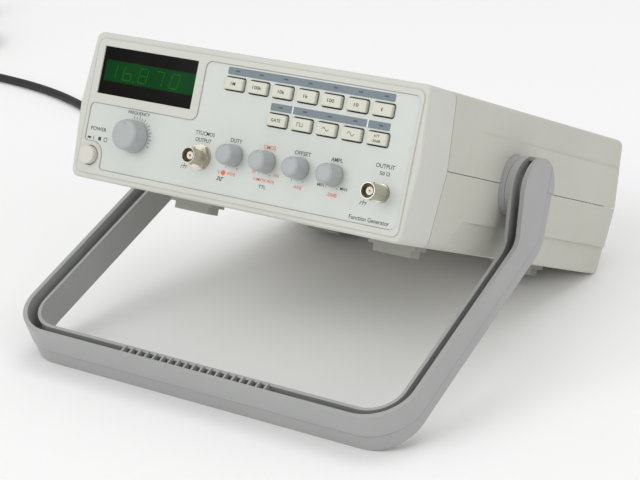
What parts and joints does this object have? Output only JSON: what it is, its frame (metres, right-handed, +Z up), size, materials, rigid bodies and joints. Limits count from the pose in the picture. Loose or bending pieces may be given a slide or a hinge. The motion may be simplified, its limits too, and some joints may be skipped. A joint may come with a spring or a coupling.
{
  "type": "function generator",
  "caption": "Bench function generator in a light-grey plastic case, standing tilted on its swinging carrying handle, with display, keys, knobs, coaxial outlets and a mains lead.",
  "frame": {"origin": "under the middle of the bounding box of the instrument without its mains lead, on the surface it stands on", "axes": "+Z up, +X to the right seen from the front, +Y from the front panel towards the rear; the case is tilted back about X as it stands on its handle"},
  "size_m": [0.8853, 0.5913, 0.1967],
  "materials": {
    "bezel_plastic": "fine satin moulded finish",
    "panel_face": "smooth printed overlay",
    "cover_plastic": "fine moulded texture",
    "handle_plastic": "satin moulded finish",
    "foot_plastic": "satin moulded finish",
    "window_smoke": "dark smoked filter",
    "led_body": "dark potting",
    "rear_metal": "fine powder coat",
    "circuit_board": "solder mask",
    "transformer_iron": "varnished laminations",
    "heat_sink_metal": "extruded",
    "black_plastic": "moulded",
    "plated_steel": "zinc plated",
    "button_plastic": "satin",
    "knob_plastic": "satin",
    "spindle_metal": "turned",
    "nickel_plate": "nickel plated",
    "insulator_white": "smooth fluoropolymer",
    "gold_plate": "gold plated",
    "cord_jacket": "smooth flexible jacket",
    "plug_plastic": "moulded on"
  },
  "bodies": {
    "case": {"bnc_main_contact": "gold_plate", "bnc_main_insulator": "insulator_white", "bnc_main_shell": "nickel_plate", "bnc_sync_contact": "gold_plate", "bnc_sync_insulator": "insulator_white", "bnc_sync_shell": "nickel_plate", "display_module": "led_body", "display_window": "window_smoke", "foot_front_left": "foot_plastic", "foot_front_right": "foot_plastic", "foot_rear_left": "foot_plastic", "foot_rear_right": "foot_plastic", "front_bezel": "bezel_plastic", "front_board": "circuit_board", "front_panel": "panel_face", "function_switch_bank": "black_plastic", "fuse_drawer": "black_plastic", "heat_sink": "heat_sink_metal", "hub_left": "handle_plastic", "hub_right": "handle_plastic", "lower_cover": "cover_plastic", "main_board": "circuit_board", "mains_connector": "plug_plastic", "mains_cord": "cord_jacket", "mains_cord_coil": "cord_jacket", "mains_plug": "plug_plastic", "pot_bank": "plated_steel", "power_inlet": "black_plastic", "power_switch": "black_plastic", "range_switch_bank": "black_plastic", "rear_bnc_1": "nickel_plate", "rear_bnc_2": "nickel_plate", "rear_panel": "rear_metal", "rear_screws": "plated_steel", "transformer": "transformer_iron", "upper_cover": "cover_plastic"},
    "function_button_1": {"function_button_1": "button_plastic"},
    "function_button_2": {"function_button_2": "button_plastic"},
    "function_button_3": {"function_button_3": "button_plastic"},
    "function_button_4": {"function_button_4": "button_plastic"},
    "function_button_5": {"function_button_5": "button_plastic"},
    "range_button_1": {"range_button_1": "button_plastic"},
    "range_button_2": {"range_button_2": "button_plastic"},
    "range_button_3": {"range_button_3": "button_plastic"},
    "range_button_4": {"range_button_4": "button_plastic"},
    "range_button_5": {"range_button_5": "button_plastic"},
    "range_button_6": {"range_button_6": "button_plastic"},
    "range_button_7": {"range_button_7": "button_plastic"},
    "power_button": {"power_button": "button_plastic"},
    "frequency_knob": {"frequency_knob": "knob_plastic", "frequency_spindle": "spindle_metal"},
    "pull_spindle_1": {"pull_spindle_1": "spindle_metal"},
    "pull_knob_1": {"pull_knob_1": "knob_plastic"},
    "pull_spindle_2": {"pull_spindle_2": "spindle_metal"},
    "pull_knob_2": {"pull_knob_2": "knob_plastic"},
    "pull_spindle_3": {"pull_spindle_3": "spindle_metal"},
    "pull_knob_3": {"pull_knob_3": "knob_plastic"},
    "pull_spindle_4": {"pull_spindle_4": "spindle_metal"},
    "pull_knob_4": {"pull_knob_4": "knob_plastic"},
    "handle": {"handle": "handle_plastic"}
  },
  "joints": [
    {"name": "function_button_1_press", "type": "slide", "parent": "case", "child": "function_button_1", "axis": [0, 0.907, -0.4212], "range_m": [0, 0.0022], "stiffness_N_per_m": 250},
    {"name": "function_button_2_press", "type": "slide", "parent": "case", "child": "function_button_2", "axis": [0, 0.907, -0.4212], "range_m": [0, 0.0022], "stiffness_N_per_m": 250},
    {"name": "function_button_3_press", "type": "slide", "parent": "case", "child": "function_button_3", "axis": [0, 0.907, -0.4212], "range_m": [0, 0.0022], "stiffness_N_per_m": 250},
    {"name": "function_button_4_press", "type": "slide", "parent": "case", "child": "function_button_4", "axis": [0, 0.907, -0.4212], "range_m": [0, 0.0022], "stiffness_N_per_m": 250},
    {"name": "function_button_5_press", "type": "slide", "parent": "case", "child": "function_button_5", "axis": [0, 0.907, -0.4212], "range_m": [0, 0.0022], "stiffness_N_per_m": 250},
    {"name": "range_button_1_press", "type": "slide", "parent": "case", "child": "range_button_1", "axis": [0, 0.907, -0.4212], "range_m": [0, 0.0022], "stiffness_N_per_m": 250},
    {"name": "range_button_2_press", "type": "slide", "parent": "case", "child": "range_button_2", "axis": [0, 0.907, -0.4212], "range_m": [0, 0.0022], "stiffness_N_per_m": 250},
    {"name": "range_button_3_press", "type": "slide", "parent": "case", "child": "range_button_3", "axis": [0, 0.907, -0.4212], "range_m": [0, 0.0022], "stiffness_N_per_m": 250},
    {"name": "range_button_4_press", "type": "slide", "parent": "case", "child": "range_button_4", "axis": [0, 0.907, -0.4212], "range_m": [0, 0.0022], "stiffness_N_per_m": 250},
    {"name": "range_button_5_press", "type": "slide", "parent": "case", "child": "range_button_5", "axis": [0, 0.907, -0.4212], "range_m": [0, 0.0022], "stiffness_N_per_m": 250},
    {"name": "range_button_6_press", "type": "slide", "parent": "case", "child": "range_button_6", "axis": [0, 0.907, -0.4212], "range_m": [0, 0.0022], "stiffness_N_per_m": 250},
    {"name": "range_button_7_press", "type": "slide", "parent": "case", "child": "range_button_7", "axis": [0, 0.907, -0.4212], "range_m": [0, 0.0022], "stiffness_N_per_m": 250},
    {"name": "power_button_press", "type": "slide", "parent": "case", "child": "power_button", "axis": [0, 0.907, -0.4212], "range_m": [0, 0.003], "stiffness_N_per_m": 300},
    {"name": "frequency_turn", "type": "hinge", "parent": "case", "child": "frequency_knob", "pos_m": [-0.0805, -0.10808, 0.14414], "axis": [0, 0.907, -0.4212], "range_deg": [-150, 150]},
    {"name": "pull_1_out", "type": "slide", "parent": "case", "child": "pull_spindle_1", "axis": [0, -0.907, 0.4212], "range_m": [0, 0.005]},
    {"name": "pull_1_turn", "type": "hinge", "parent": "pull_spindle_1", "child": "pull_knob_1", "pos_m": [-0.0038, -0.10808, 0.14414], "axis": [0, 0.907, -0.4212], "range_deg": [-140, 140]},
    {"name": "pull_2_out", "type": "slide", "parent": "case", "child": "pull_spindle_2", "axis": [0, -0.907, 0.4212], "range_m": [0, 0.005]},
    {"name": "pull_2_turn", "type": "hinge", "parent": "pull_spindle_2", "child": "pull_knob_2", "pos_m": [0.0204, -0.10808, 0.14414], "axis": [0, 0.907, -0.4212], "range_deg": [-140, 140]},
    {"name": "pull_3_out", "type": "slide", "parent": "case", "child": "pull_spindle_3", "axis": [0, -0.907, 0.4212], "range_m": [0, 0.005]},
    {"name": "pull_3_turn", "type": "hinge", "parent": "pull_spindle_3", "child": "pull_knob_3", "pos_m": [0.0446, -0.10808, 0.14414], "axis": [0, 0.907, -0.4212], "range_deg": [-140, 140]},
    {"name": "pull_4_out", "type": "slide", "parent": "case", "child": "pull_spindle_4", "axis": [0, -0.907, 0.4212], "range_m": [0, 0.005]},
    {"name": "pull_4_turn", "type": "hinge", "parent": "pull_spindle_4", "child": "pull_knob_4", "pos_m": [0.0688, -0.10808, 0.14414], "axis": [0, 0.907, -0.4212], "range_deg": [-140, 140]},
    {"name": "handle_swing", "type": "hinge", "parent": "case", "child": "handle", "pos_m": [0, 0.01033, 0.10591], "axis": [-1, 0, 0], "range_deg": [-60, 180]}
  ]
}
